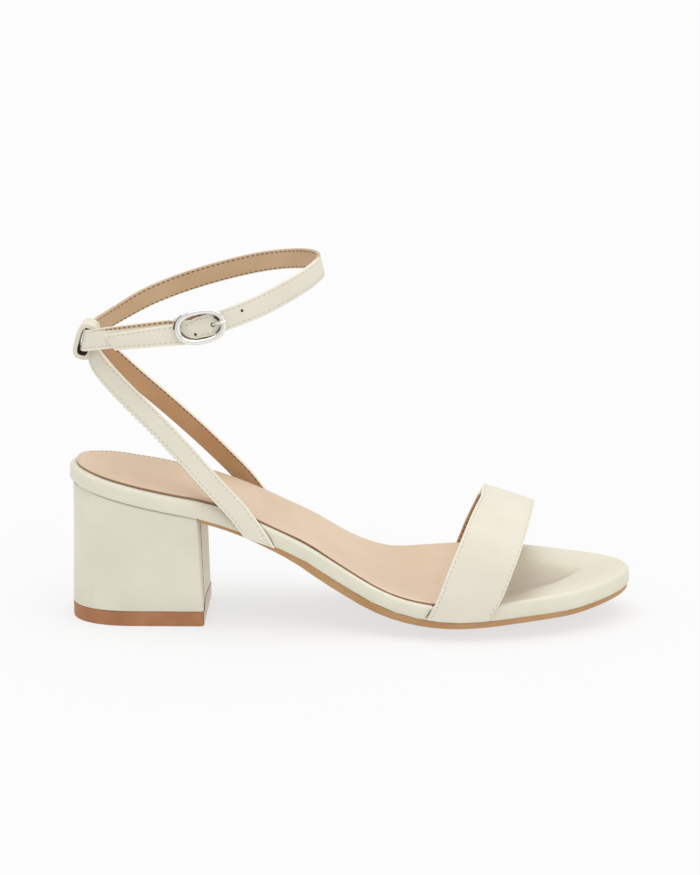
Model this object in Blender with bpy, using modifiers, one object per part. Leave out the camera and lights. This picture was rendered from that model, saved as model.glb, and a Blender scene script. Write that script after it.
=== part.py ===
"""Right-foot block heel sandal: footbed on a block heel, toe strap, sling straps and a buckled ankle strap.

Metres, +Z up. +X points to the toe and -Y to the outer (lateral) side of the foot. The origin is the centre of
the heel's floor face. Sizes are named values; tables hold shares of those sizes, a row for each section.
"""

import bisect
import math
from collections import namedtuple

import bmesh
import bpy
from mathutils import Matrix, Vector

# Clearance between pieces that touch
GAP = 0.0003

# Clearance under a curved sheet, whose facets differ from those below it
CURVED_GAP = 0.0005

# Footbed: a rigid board wrapped in soft faux leather
SOLE_LENGTH = 0.2320
BALL_WIDTH = 0.0840
SEAT_CLIMB = 0.0566
TOE_SPRING = 0.0106
EDGE_LIFT = 0.0060
BOARD_THICK = 0.0068
BOARD_EDGE_ROUND = 0.0022
BOARD_LOWER_EDGE = 0.0006

# Outsole: thin sheet from the heel breast to the toe, worn flat where it meets the floor
OUTSOLE_THICK = 0.0022
OUTSOLE_INSET = 0.0008
OUTSOLE_FLAT_DEPTH = 0.0005
OUTSOLE_EDGE = 0.0004
OUTSOLE_BREAST_GAP = 0.0009

# Insole: the lining sheet glued on the footbed, ending under the toe strap
INSOLE_THICK = 0.0010
INSOLE_INSET = 0.0029
INSOLE_CROWN = 0.0008
INSOLE_EDGE_ROUND = 0.0016
INSOLE_END = 0.735

# Heel: covered block with a rubber top lift
HEEL_LENGTH = 0.0560
HEEL_WIDTH = 0.0424
HEEL_BREAST_LEAN = 0.0015
HEEL_TOP_INSET = 0.0010
HEEL_BACK_INSETS = (0.0004, 0.0014)
HEEL_BACK_DEPTH = 0.0270
HEEL_BACK_SQUARENESS = 2.3
HEEL_BREAST_ROUND = 0.0012
HEEL_EDGE = 0.0005
TOP_LIFT_THICK = 0.0058

# Straps
TOE_STRAP_THICK = 0.0018
TOE_STRAP_RISE = 0.0425
SLING_WIDTH = 0.0084
SLING_THICK = 0.0016
SLING_SPREAD = 0.0300
SLING_TOP_DROP = 0.0027
SLING_FOOT_DROP = 0.0006
SLING_FOOT_SLOPE = 0.8
SLING_LEAN = math.radians(32)
ANKLE_WIDTH = 0.0086
ANKLE_THICK = 0.0014
ANKLE_LENGTH = 0.0968
ANKLE_SPREAD = 0.0320
ANKLE_BACK_SET = 0.0072
ANKLE_BACK_HEIGHT = 0.1158
ANKLE_FRONT_RISE = 0.0310
ANKLE_LEAN = math.radians(13)

# Back loop that carries the ankle strap
LOOP_WIDTH = 0.0120
LOOP_THICK = 0.0018
LOOP_HEIGHT = 0.0152
LOOP_SLACK = 0.0034
LOOP_OFFSET = 0.0010
LOOP_SQUARENESS = 3.3
LOOP_LEAN = math.radians(16)

# Buckle
BUCKLE_LENGTH = 0.0206
BUCKLE_HEIGHT = 0.0139
BUCKLE_RIM = 0.0022
BUCKLE_RIM_THICK = 0.0018
BUCKLE_SQUARENESS = 2.4
BAR_RADIUS = 0.0007
PRONG_RADIUS = 0.0006
HOLE_RADIUS = 0.0006

# Holes in the strap's outer layer: run ahead of the bar and height over the strap's middle
HOLES = ((-0.0025, -0.0026), (0.0172, 0.0010))

# Footbed outline and underside, from the heel's back edge to the toe. Centre, lateral and medial are shares of
# BALL_WIDTH, climb of SEAT_CLIMB, spring of TOE_SPRING, the lifts of EDGE_LIFT, thick of BOARD_THICK and
# outsole of OUTSOLE_THICK.
SoleRow = namedtuple(
    "SoleRow", "along centre lateral medial climb spring lateral_lift medial_lift thick outsole"
)
SOLE_ROWS = (
    SoleRow(0.000, 0.000, 0.000, 0.000, 1.000, 0.00, 0.00, 0.00, 1.00, 0.55),
    SoleRow(0.021, 0.000, 0.168, 0.168, 0.982, 0.00, 0.00, 0.00, 1.00, 0.55),
    SoleRow(0.052, 0.000, 0.248, 0.250, 0.955, 0.00, 0.00, 0.00, 1.00, 0.55),
    SoleRow(0.090, 0.000, 0.298, 0.300, 0.922, 0.00, 0.00, 0.00, 1.00, 0.55),
    SoleRow(0.130, 0.000, 0.321, 0.324, 0.887, 0.00, 0.00, 0.00, 1.00, 0.55),
    SoleRow(0.180, 0.000, 0.327, 0.330, 0.843, 0.00, 0.00, 0.00, 1.00, 0.55),
    SoleRow(0.240, 0.000, 0.316, 0.320, 0.790, 0.00, 0.00, 0.00, 1.00, 0.55),
    SoleRow(0.302, 0.000, 0.310, 0.310, 0.705, 0.00, 0.03, 0.03, 0.97, 0.58),
    SoleRow(0.366, 0.000, 0.310, 0.308, 0.581, 0.00, 0.13, 0.13, 0.92, 0.80),
    SoleRow(0.420, 0.000, 0.323, 0.314, 0.468, 0.00, 0.25, 0.25, 0.90, 1.32),
    SoleRow(0.453, 0.000, 0.341, 0.324, 0.376, 0.00, 0.36, 0.36, 0.89, 1.46),
    SoleRow(0.494, 0.000, 0.362, 0.345, 0.261, 0.00, 0.52, 0.52, 0.88, 1.44),
    SoleRow(0.528, 0.000, 0.386, 0.375, 0.173, 0.00, 0.64, 0.70, 0.88, 1.38),
    SoleRow(0.560, 0.001, 0.412, 0.412, 0.107, 0.00, 0.74, 0.90, 0.88, 1.32),
    SoleRow(0.601, 0.004, 0.440, 0.462, 0.048, 0.00, 0.85, 1.24, 0.90, 1.24),
    SoleRow(0.645, 0.008, 0.463, 0.507, 0.011, 0.00, 0.93, 1.52, 0.94, 1.14),
    SoleRow(0.690, 0.014, 0.477, 0.530, 0.000, 0.00, 0.95, 1.56, 0.97, 1.06),
    SoleRow(0.735, 0.019, 0.478, 0.528, 0.000, 0.05, 0.94, 1.35, 1.00, 1.00),
    SoleRow(0.790, 0.025, 0.461, 0.503, 0.000, 0.20, 0.86, 1.15, 1.04, 0.97),
    SoleRow(0.840, 0.030, 0.427, 0.450, 0.000, 0.34, 0.72, 0.88, 1.09, 0.94),
    SoleRow(0.890, 0.033, 0.367, 0.375, 0.000, 0.50, 0.50, 0.60, 1.12, 0.90),
    SoleRow(0.935, 0.035, 0.286, 0.288, 0.000, 0.69, 0.30, 0.35, 1.14, 0.87),
    SoleRow(0.970, 0.036, 0.195, 0.195, 0.000, 0.85, 0.14, 0.16, 1.15, 0.85),
    SoleRow(1.000, 0.036, 0.000, 0.000, 0.000, 1.00, 0.00, 0.00, 1.15, 0.85),
)

# Toe strap from the lateral side over the foot to the medial side. Rear and front are shares of SOLE_LENGTH,
# side of the footbed's reach at that place, and the ups of TOE_STRAP_RISE above the footbed's lower edge.
ToeRow = namedtuple("ToeRow", "rear front side rear_up front_up")
TOE_ROWS = (
    ToeRow(0.634, 0.741, -1.00, 0.015, 0.015),
    ToeRow(0.643, 0.752, -1.00, 0.110, 0.110),
    ToeRow(0.652, 0.763, -1.00, 0.220, 0.200),
    ToeRow(0.666, 0.776, -0.97, 0.430, 0.360),
    ToeRow(0.682, 0.789, -0.90, 0.640, 0.520),
    ToeRow(0.699, 0.803, -0.76, 0.840, 0.680),
    ToeRow(0.714, 0.814, -0.52, 0.960, 0.785),
    ToeRow(0.727, 0.822, -0.22, 1.000, 0.825),
    ToeRow(0.735, 0.828, 0.12, 0.985, 0.810),
    ToeRow(0.738, 0.832, 0.42, 0.905, 0.735),
    ToeRow(0.734, 0.832, 0.68, 0.770, 0.610),
    ToeRow(0.724, 0.828, 0.87, 0.580, 0.450),
    ToeRow(0.711, 0.821, 0.97, 0.380, 0.300),
    ToeRow(0.700, 0.814, 1.00, 0.210, 0.180),
    ToeRow(0.693, 0.808, 1.00, 0.110, 0.100),
    ToeRow(0.688, 0.803, 1.00, 0.015, 0.015),
)

# Lateral half of the sling, from its foot on the footbed's side to the back of the ankle. Along is a share of
# SOLE_LENGTH, side of SLING_SPREAD and up of the rise from the footbed's underside to SLING_TOP_DROP below the
# ankle strap. Face turns the strap's outer side from sideways (0) to backwards (1), and hug 1 lays the row on
# the footbed's side.
SlingRow = namedtuple("SlingRow", "along side up face hug")
SLING_ROWS = (
    SlingRow(0.343, 0.91, 0.000, 0.00, 1.00),
    SlingRow(0.331, 0.91, 0.060, 0.00, 0.95),
    SlingRow(0.317, 0.93, 0.123, 0.02, 0.60),
    SlingRow(0.298, 0.94, 0.200, 0.03, 0.15),
    SlingRow(0.257, 0.90, 0.335, 0.06, 0.00),
    SlingRow(0.213, 0.79, 0.480, 0.10, 0.00),
    SlingRow(0.163, 0.675, 0.633, 0.14, 0.00),
    SlingRow(0.114, 0.585, 0.774, 0.20, 0.00),
    SlingRow(0.072, 0.46, 0.902, 0.36, 0.00),
    SlingRow(0.051, 0.27, 0.975, 0.68, 0.00),
    SlingRow(0.0445, 0.00, 1.000, 1.00, 0.00),
)

# Ankle strap's loop, from the buckle's bar back round the ankle to the bar again. Along is a share of
# ANKLE_LENGTH from the back, side of ANKLE_SPREAD and up of ANKLE_FRONT_RISE above ANKLE_BACK_HEIGHT.
AnkleRow = namedtuple("AnkleRow", "along side up")
ANKLE_ROWS = (
    AnkleRow(0.5225, -0.955, 0.356),
    AnkleRow(0.416, -0.935, 0.325),
    AnkleRow(0.303, -0.885, 0.272),
    AnkleRow(0.180, -0.770, 0.200),
    AnkleRow(0.075, -0.550, 0.110),
    AnkleRow(0.016, -0.280, 0.035),
    AnkleRow(0.000, 0.000, 0.000),
    AnkleRow(0.018, 0.270, 0.060),
    AnkleRow(0.072, 0.530, 0.135),
    AnkleRow(0.145, 0.770, 0.240),
    AnkleRow(0.255, 0.930, 0.410),
    AnkleRow(0.430, 1.000, 0.610),
    AnkleRow(0.608, 0.980, 0.775),
    AnkleRow(0.766, 0.860, 0.900),
    AnkleRow(0.900, 0.620, 0.975),
    AnkleRow(0.980, 0.300, 1.005),
    AnkleRow(1.000, 0.000, 1.000),
    AnkleRow(0.975, -0.320, 0.940),
    AnkleRow(0.890, -0.640, 0.810),
    AnkleRow(0.760, -0.860, 0.620),
    AnkleRow(0.621, -0.945, 0.460),
    AnkleRow(0.5225, -0.955, 0.356),
)
FREE_END_LENGTH = 0.0400
FREE_END_WIDTH = 0.0068
FREE_END_DROP = 0.0022
FREE_END_SLANT = 0.0050
FOLD_LENGTH = 0.0080
FOLD_WIDTH = 0.0066
FOLD_SHOULDER = 0.0010
UNDER_RIM_RUN = 0.0160

# Prong shank after its eye: run as a share of the buckle's half length, up as a share of the climb to the rim
PRONG_SHANK = (
    (0.15, 0.01),
    (0.30, 0.11),
    (0.44, 0.35),
    (0.56, 0.64),
    (0.68, 0.90),
    (0.79, 1.00),
    (0.90, 1.00),
    (0.99, 0.95),
)

# Mesh fineness
SOLE_STEPS = 40
HEEL_STEPS = 22
TOE_STRAP_STEPS = 40
SLING_STEPS = 26
LOOP_STEPS = 28
ANKLE_STEPS = 96
RIM_STEPS = 44
RIM_SIDES = 10
ANKLE_SAMPLES = 360
ANKLE_EASE_PASSES = 40
MERGE = 0.00002
SMOOTH_ANGLE = math.radians(50)

# Spans over which a slope along the shoe and a run of the outline are measured
SLOPE_SPAN = 0.002
TURN_SPAN = 0.004

# Colours as linear base colour, roughness and metallic value
CREAM = ((0.740, 0.700, 0.580), 0.42, 0.0)
TAN = ((0.740, 0.560, 0.410), 0.60, 0.0)
SOLE_BROWN = ((0.490, 0.250, 0.105), 0.55, 0.0)
LIFT_BROWN = ((0.420, 0.190, 0.080), 0.60, 0.0)
SILVER = ((0.800, 0.800, 0.790), 0.18, 1.0)


def clear_scene():
    for obj in list(bpy.data.objects):
        bpy.data.objects.remove(obj, do_unlink=True)


def collection(name):
    made = bpy.data.collections.new(name)
    bpy.context.scene.collection.children.link(made)
    return made


def material(name, look):
    colour, roughness, metallic = look
    made = bpy.data.materials.new(name)
    made.use_nodes = True
    shader = made.node_tree.nodes["Principled BSDF"]
    shader.inputs["Base Color"].default_value = (*colour, 1)
    shader.inputs["Roughness"].default_value = roughness
    shader.inputs["Metallic"].default_value = metallic
    return made


def mix(low, high, share):
    return low + (high - low) * share


def hermite(xs, ys, x):
    """Smooth curve through the points (xs, ys), which doesn't overshoot a high or low row."""
    k = min(max(bisect.bisect_right(xs, x) - 1, 0), len(xs) - 2)

    def slope(i):
        if i in (0, len(xs) - 1):
            a, b = (0, 1) if i == 0 else (i - 1, i)
            return (ys[b] - ys[a]) / (xs[b] - xs[a])
        before = (ys[i] - ys[i - 1]) / (xs[i] - xs[i - 1])
        after = (ys[i + 1] - ys[i]) / (xs[i + 1] - xs[i])
        if before * after <= 0:
            return 0.0
        weight = (xs[i] - xs[i - 1]) / (xs[i + 1] - xs[i - 1])
        return mix(before, after, weight)

    step = xs[k + 1] - xs[k]
    t = min(max((x - xs[k]) / step, 0.0), 1.0)
    return (
        ys[k] * (2 * t**3 - 3 * t**2 + 1)
        + ys[k + 1] * (3 * t**2 - 2 * t**3)
        + slope(k) * step * (t**3 - 2 * t**2 + t)
        + slope(k + 1) * step * (t**3 - t**2)
    )


def row_at(rows, shares, where):
    """Row of a table at any share of its run."""
    return type(rows[0])(*(hermite(shares, column, where) for column in zip(*rows)))


def along_of(x):
    return (x + HEEL_LENGTH / 2) / SOLE_LENGTH


def x_of(along):
    return along * SOLE_LENGTH - HEEL_LENGTH / 2


def turn_of(along):
    """Even steps of turn crowd at the heel and toe, where the outline is round."""
    return math.acos(1 - 2 * min(max(along, 0.0), 1.0)) / math.pi


def along_at(turn):
    return (1 - math.cos(math.pi * turn)) / 2


SOLE_TURNS = [turn_of(row.along) for row in SOLE_ROWS]
SOLE_ALONGS = [row.along for row in SOLE_ROWS]


def sole(column, along):
    """A column of SOLE_ROWS at any place: reaches follow the turn, so that both ends are round."""
    values = [getattr(row, column) for row in SOLE_ROWS]
    if column in ("lateral", "medial"):
        return hermite(SOLE_TURNS, values, turn_of(along))
    return hermite(SOLE_ALONGS, values, along)


def centre_y(along):
    return sole("centre", along) * BALL_WIDTH


def reach(along, side):
    """Distance from the centre line to the footbed's edge; side is -1 for lateral and 1 for medial."""
    return sole("lateral" if side < 0 else "medial", along) * BALL_WIDTH


def edge_share(along, y):
    """Side of the centre line that y lies on, and its share of the way from there to the footbed's edge."""
    side = -1 if y < centre_y(along) else 1
    width = reach(along, side)
    return side, min(abs(y - centre_y(along)) / width, 1.0) if width > GAP else 0.0


def slope_at(x, y):
    return (under_z(x + SLOPE_SPAN, y) - under_z(x - SLOPE_SPAN, y)) / (2 * SLOPE_SPAN)


def slope_stretch(x, y):
    """How much taller a sheet measures upright than square to its slope."""
    return math.hypot(1, slope_at(x, y))


def outsole_height(x, y):
    """Upright thickness of the outsole."""
    return OUTSOLE_THICK * sole("outsole", along_of(x)) * slope_stretch(x, y)


def under_z(x, y):
    """Height of the footbed's underside."""
    along = along_of(x)
    base = OUTSOLE_THICK + GAP - OUTSOLE_FLAT_DEPTH
    base += sole("climb", along) * SEAT_CLIMB + sole("spring", along) * TOE_SPRING
    side, share = edge_share(along, y)
    lift = sole("lateral_lift" if side < 0 else "medial_lift", along) * EDGE_LIFT
    return base + lift * share**2


def top_z(x, y):
    """Height of the footbed's top, whose thickness is square to its slope."""
    return under_z(x, y) + BOARD_THICK * sole("thick", along_of(x)) * slope_stretch(x, y)


def edge_point(turn, side):
    """Plan point of the footbed's edge."""
    along = along_at(min(max(turn, 0.0), 1.0))
    return Vector((x_of(along), centre_y(along) + side * reach(along, side)))


def outline(inset, start, end):
    """Rows of (lateral, medial) plan points, inset square to the footbed's edge."""
    rows = []
    for i in range(SOLE_STEPS + 1):
        turn = mix(turn_of(start), turn_of(end), i / SOLE_STEPS)
        pair = []
        for side in (-1, 1):
            run = (edge_point(turn + TURN_SPAN, side) - edge_point(turn - TURN_SPAN, side)).normalized()
            if turn in (0.0, 1.0):
                run = Vector((0, side if turn == 0 else -side))
            outward = Vector((run.y, -run.x)) * -side
            pair.append(edge_point(turn, side) - outward * inset)
        rows.append(pair)
    return rows


def add_mesh(name, vertices, faces, look):
    """Object from a vertex and face list, merged where the loft closes to a point, with its faces outwards."""
    mesh = bpy.data.meshes.new(name)
    mesh.from_pydata(vertices, [], faces)
    build = bmesh.new()
    build.from_mesh(mesh)
    bmesh.ops.remove_doubles(build, verts=build.verts, dist=MERGE)
    bmesh.ops.recalc_face_normals(build, faces=build.faces)
    build.to_mesh(mesh)
    build.free()
    mesh.materials.append(look)
    mesh.shade_smooth()
    mesh.set_sharp_from_angle(angle=SMOOTH_ANGLE)
    obj = bpy.data.objects.new(name, mesh)
    PARTS.objects.link(obj)
    return obj


def slab(name, levels, look, across=6, start=0.0, end=1.0):
    """Sole-shaped sheet. Each level is (inset, height function); the first closes below and the last above."""
    vertices, faces = [], []
    rings = []
    for inset, height in levels:
        rows = outline(inset, start, end)
        rings.append([[Vector((p.x, p.y, height(p.x, p.y))) for p in pair] for pair in rows])
    grids = []
    for ring, (_, height) in ((rings[0], levels[0]), (rings[-1], levels[-1])):
        grid = []
        for lateral, medial in ring:
            line = []
            for j in range(across + 1):
                point = lateral.lerp(medial, j / across)
                point.z = height(point.x, point.y)
                line.append(len(vertices))
                vertices.append(point)
            grid.append(line)
        grids.append(grid)
        for a, b in zip(grid, grid[1:]):
            faces += [(a[j], a[j + 1], b[j + 1], b[j]) for j in range(across)]
    edges = [[line[0] for line in grids[0]] + [line[-1] for line in reversed(grids[0])]]
    for ring in rings[1:-1]:
        loop = []
        for point in [pair[0] for pair in ring] + [pair[1] for pair in reversed(ring)]:
            loop.append(len(vertices))
            vertices.append(point)
        edges.append(loop)
    edges.append([line[0] for line in grids[1]] + [line[-1] for line in reversed(grids[1])])
    for low, high in zip(edges, edges[1:]):
        count = len(low)
        joins = [(i, (i + 1) % count) for i in range(count)]
        faces += [(low[i], low[k], high[k], high[i]) for i, k in joins]
    cut_ends = []
    if start > 0.0:
        cut_ends.append((0, 0, -1))
    if end < 1.0:
        cut_ends.append((-1, SOLE_STEPS, SOLE_STEPS + 1))
    for row, first, second in cut_ends:
        bottom, top = grids[0][row], grids[1][row]
        lateral, medial = [loop[first] for loop in edges], [loop[second] for loop in edges]
        faces = [face for face in faces if set(face) - set(lateral) - set(medial)]
        faces.append(tuple(lateral + top[1:-1] + medial[::-1] + bottom[-2:0:-1]))
    return add_mesh(name, vertices, faces, look)


def make_midsole(look):
    radius = BOARD_EDGE_ROUND
    levels = [(BOARD_LOWER_EDGE, under_z), (0.0, lambda x, y: under_z(x, y) + BOARD_LOWER_EDGE)]
    for degrees in (0, 30, 60, 90):
        turn = math.radians(degrees)
        drop = radius * (1 - math.sin(turn))
        levels.append((radius * (1 - math.cos(turn)), lambda x, y, d=drop: top_z(x, y) - d))
    return slab("midsole", levels, look)


def make_insole(look):
    def lower(x, y):
        return top_z(x, y) + CURVED_GAP

    def upper(x, y):
        _, share = edge_share(along_of(x), y)
        return lower(x, y) + INSOLE_THICK + INSOLE_CROWN * (1 - share**2)

    levels = [
        (INSOLE_INSET, lower),
        (INSOLE_INSET, lambda x, y: lower(x, y) + INSOLE_THICK * 0.4),
        (INSOLE_INSET + INSOLE_EDGE_ROUND * 0.4, lambda x, y: upper(x, y) - INSOLE_THICK * 0.1),
        (INSOLE_INSET + INSOLE_EDGE_ROUND, upper),
    ]
    return slab("insole", levels, look, end=INSOLE_END)


def make_outsole(look):
    def upper(x, y):
        return under_z(x, y) - GAP

    def lower(x, y):
        return max(under_z(x, y) - GAP - outsole_height(x, y), 0.0)

    levels = [
        (OUTSOLE_INSET + OUTSOLE_EDGE, lower),
        (OUTSOLE_INSET, lambda x, y: lower(x, y) + OUTSOLE_EDGE),
        (OUTSOLE_INSET, upper),
    ]
    return slab("outsole", levels, look, across=8, start=along_of(breast_x(1.0) + OUTSOLE_BREAST_GAP))


def breast_x(share):
    """The heel's front face, which leans back from the floor (0) to the footbed (1)."""
    return HEEL_LENGTH / 2 - HEEL_BREAST_LEAN * share


def heel_ring(share, inset=0.0):
    """Lateral and medial plan outlines of the heel at a height share, from its back to its breast."""
    back = x_of(0.0) + mix(*HEEL_BACK_INSETS, share)
    front = breast_x(share)
    lateral, medial = [], []
    for i in range(HEEL_STEPS + 1):
        run = 1 - math.cos(math.pi / 2 * i / HEEL_STEPS)
        depth = HEEL_BACK_DEPTH
        curve = max(1 - min((front - back) * run / depth, 1.0), 0.0)
        floor_reach = HEEL_WIDTH / 2 * (1 - curve**HEEL_BACK_SQUARENESS) ** (1 / HEEL_BACK_SQUARENESS)
        x = mix(back, front, run)
        for side, points in ((-1, lateral), (1, medial)):
            seat = max(reach(along_of(x - HEEL_BACK_INSETS[1] * (1 - run)), side) - HEEL_TOP_INSET * run, 0.0)
            y = mix(floor_reach, seat, share)
            points.append((x, side * max(y - inset, 0.0)))
    corner = HEEL_BREAST_ROUND
    for points in (lateral, medial):
        x, y = points[-1]
        points[-1] = (x - corner, y)
        points.append((x - corner * 0.3, y - math.copysign(corner * 0.3, y)))
        points.append((x, y - math.copysign(corner, y)))
    return lateral, medial


def heel_solid(name, low, high, look, share_of, edge=0.0):
    """Block between two height functions, lofted through heel rings and closed with ruled caps."""
    shares = [0.0, 0.0, 0.25, 0.5, 0.75, 1.0, 1.0] if edge else [0.0, 1.0]
    vertices, faces, grids = [], [], []
    for level, share in enumerate(shares):
        inset = edge if edge and level in (0, len(shares) - 1) else 0.0
        lateral, medial = heel_ring(share_of(share), inset)
        grid = []
        for side in (lateral, medial):
            line = []
            for x, y in side:
                bottom, top = low(x, y), high(x, y)
                z = mix(bottom, top, share)
                if edge and level in (1, len(shares) - 2):
                    z += edge if level == 1 else -edge
                line.append(len(vertices))
                vertices.append((x, y, z))
            grid.append(line)
        grids.append(grid)
    for (low_lat, low_med), (high_lat, high_med) in zip(grids, grids[1:]):
        loop_low = low_lat + list(reversed(low_med))
        loop_high = high_lat + list(reversed(high_med))
        count = len(loop_low)
        joins = [(i, (i + 1) % count) for i in range(count)]
        faces += [(loop_low[i], loop_low[k], loop_high[k], loop_high[i]) for i, k in joins]
    for lateral, medial in (grids[0], grids[-1]):
        rungs = range(len(lateral) - 1)
        faces += [(lateral[i], medial[i], medial[i + 1], lateral[i + 1]) for i in rungs]
    return add_mesh(name, vertices, faces, look)


def make_heel(look):
    def low(x, y):
        return TOP_LIFT_THICK + GAP

    def high(x, y):
        return under_z(x, 0.0) - GAP

    return heel_solid("heel_block", low, high, look, lambda share: share, edge=HEEL_EDGE)


def make_top_lift(look):
    return heel_solid("top_lift", lambda x, y: 0.0, lambda x, y: TOP_LIFT_THICK, look, lambda share: 0.0)


def sheet(name, grid, thick, look, closed=False):
    """Strap: an open or ring-shaped grid of points, given its thickness evenly on both sides."""
    wide = len(grid[0])
    vertices = [point for row in grid for point in row]
    rows = len(grid)
    pairs = [(i, (i + 1) % rows) for i in range(rows if closed else rows - 1)]
    faces = [
        (i * wide + j, i * wide + j + 1, k * wide + j + 1, k * wide + j)
        for i, k in pairs
        for j in range(wide - 1)
    ]
    mesh = bpy.data.meshes.new(name)
    mesh.from_pydata(vertices, [], faces)
    mesh.materials.append(look)
    obj = bpy.data.objects.new(name, mesh)
    PARTS.objects.link(obj)
    wall = obj.modifiers.new("Wall", "SOLIDIFY")
    wall.thickness = thick
    wall.offset = 0
    wall.use_even_offset = True
    mesh.shade_smooth()
    mesh.set_sharp_from_angle(angle=SMOOTH_ANGLE)
    return obj


def boolean(obj, other, operation):
    cut = obj.modifiers.new(operation.title(), "BOOLEAN")
    cut.operation = operation
    cut.object = other
    cut.solver = "EXACT"


def helper(obj):
    """Moves a cutter or a joined form out of the parts."""
    PARTS.objects.unlink(obj)
    CUTTERS.objects.link(obj)
    obj.hide_render = True
    obj.display_type = "WIRE"
    return obj


def make_toe_strap(look):
    """Band over the forefoot. Its ends lie on the footbed's side, down to the outsole."""
    shares = [i / (len(TOE_ROWS) - 1) for i in range(len(TOE_ROWS))]
    across = 6
    offset = GAP + TOE_STRAP_THICK / 2
    grid = []
    for i in range(TOE_STRAP_STEPS + 1):
        where = i / TOE_STRAP_STEPS
        row = row_at(TOE_ROWS, shares, where)
        line = []
        for j in range(across + 1):
            x = x_of(mix(row.rear, row.front, j / across))
            along = along_of(x)
            side = -1 if row.side < 0 else 1
            edge = reach(along, side)
            base = under_z(x, centre_y(along) + side * edge)
            up = mix(row.rear_up, row.front_up, j / across) * TOE_STRAP_RISE
            y = centre_y(along) + row.side * (edge + offset)
            line.append((x, y, base + up))
        grid.append(line)
    return sheet("toe_strap", grid, TOE_STRAP_THICK, look)


def ribbon_grid(path, acrosses, width, cuts):
    """Points across a strap: each path point with its unit vector along the width."""
    grid = []
    for point, across in zip(path, acrosses):
        shares = [j / cuts - 0.5 for j in range(cuts + 1)]
        grid.append([point + across * (width * share) for share in shares])
    return grid


def sling_half():
    """Centre points and outward faces of the lateral half, from its foot to the back."""
    shares = [i / (len(SLING_ROWS) - 1) for i in range(len(SLING_ROWS))]
    foot_x = x_of(SLING_ROWS[0].along)
    base = under_z(foot_x, -reach(along_of(foot_x), -1)) - SLING_FOOT_DROP
    rise = ANKLE_BACK_HEIGHT - SLING_TOP_DROP - base
    points, faces = [], []
    for i in range(SLING_STEPS + 1):
        where = i / SLING_STEPS
        row = row_at(SLING_ROWS, shares, where)
        x = x_of(row.along)
        hugged = -centre_y(row.along) + reach(row.along, -1) + GAP + SLING_THICK / 2
        y = mix(row.side * SLING_SPREAD, hugged, row.hug)
        points.append(Vector((x, -y, base + row.up * rise)))
        turn = row.face * math.pi / 2
        lean = math.tan(SLING_LEAN) * (1 - row.hug) * (1 - row.face)
        faces.append(Vector((-math.sin(turn), -math.cos(turn), lean)).normalized())
    return points, faces


def tangents(points):
    runs = []
    for i in range(len(points)):
        run = points[min(i + 1, len(points) - 1)] - points[max(i - 1, 0)]
        runs.append(run.normalized())
    return runs


def foot_slant(point, run, across):
    """Shear along the strap's run that lays the cut of its foot nearly along the footbed's lower edge."""
    line = Vector((1.0, 0.0, slope_at(point.x, point.y) * SLING_FOOT_SLOPE))
    return line.dot(run) / line.dot(across)


def make_sling(look):
    """Both sling straps and the back loop, stitched together at the back of the ankle."""
    points, faces = sling_half()
    mirror = Vector((1, -1, 1))
    points += [p * mirror for p in reversed(points[:-1])]
    faces += [f * mirror for f in reversed(faces[:-1])]
    runs = tangents(points)
    acrosses = [run.cross(face).normalized() for run, face in zip(runs, faces)]
    for end, rows in ((0, range(6)), (-1, range(-1, -7, -1))):
        slant = foot_slant(points[end], runs[end], acrosses[end])
        for k, row in enumerate(rows):
            acrosses[row] = acrosses[row] + runs[row] * slant * (1 - k / 6)
    strap = sheet("sling_straps", ribbon_grid(points, acrosses, SLING_WIDTH, cuts=4), SLING_THICK, look)
    ring = []
    middle = loop_centre()
    half_x = loop_depth() / 2 - LOOP_THICK / 2
    half_z = LOOP_HEIGHT / 2 - LOOP_THICK / 2
    lean = Matrix.Rotation(LOOP_LEAN, 3, "Y")
    for i in range(LOOP_STEPS):
        turn = 2 * math.pi * i / LOOP_STEPS
        squared = [math.copysign(abs(v) ** (2 / LOOP_SQUARENESS), v) for v in (math.cos(turn), math.sin(turn))]
        spot = middle + lean @ Vector((half_x * squared[0], 0.0, half_z * squared[1]))
        ring.append([spot + Vector((0.0, y * LOOP_WIDTH, 0.0)) for y in (-0.5, 0.0, 0.5)])
    loop = helper(sheet("back_loop_form", ring, LOOP_THICK, look, closed=True))
    boolean(strap, loop, "UNION")
    return strap


def loop_depth():
    return ANKLE_THICK + LOOP_SLACK + 2 * LOOP_THICK


def loop_centre():
    """The strap runs through the rear part of the loop."""
    return ankle_point(AnkleRow(0.0, 0.0, 0.0)) + Vector((LOOP_OFFSET, 0.0, 0.0))


def ankle_point(row):
    return Vector((
        x_of(0.0) + ANKLE_BACK_SET + row.along * ANKLE_LENGTH,
        row.side * ANKLE_SPREAD,
        ANKLE_BACK_HEIGHT + row.up * ANKLE_FRONT_RISE,
    ))


def ankle_round():
    """Evenly eased closed curve through ANKLE_ROWS, with the distance run at each point."""
    count = ANKLE_SAMPLES
    last = len(ANKLE_ROWS) - 1
    shares = [i / last for i in range(-last, 2 * last + 1)]
    rows = ANKLE_ROWS[:-1] + ANKLE_ROWS + ANKLE_ROWS[1:]
    points = [ankle_point(row_at(rows, shares, i / count)) for i in range(count)]
    for _ in range(ANKLE_EASE_PASSES):
        points = [(points[i - 1] + points[i] * 2 + points[(i + 1) % count]) / 4 for i in range(count)]
    points.append(points[0])
    runs = [0.0]
    for a, b in zip(points, points[1:]):
        runs.append(runs[-1] + (b - a).length)
    return points, runs


def ankle_at(distance):
    """Point on the loop at a distance from the bar, which may run past a full turn."""
    distance %= ANKLE_RUNS[-1]
    k = min(bisect.bisect_right(ANKLE_RUNS, distance) - 1, len(ANKLE_RUNS) - 2)
    share = (distance - ANKLE_RUNS[k]) / (ANKLE_RUNS[k + 1] - ANKLE_RUNS[k])
    return ANKLE_POINTS[k].lerp(ANKLE_POINTS[k + 1], share)


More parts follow.
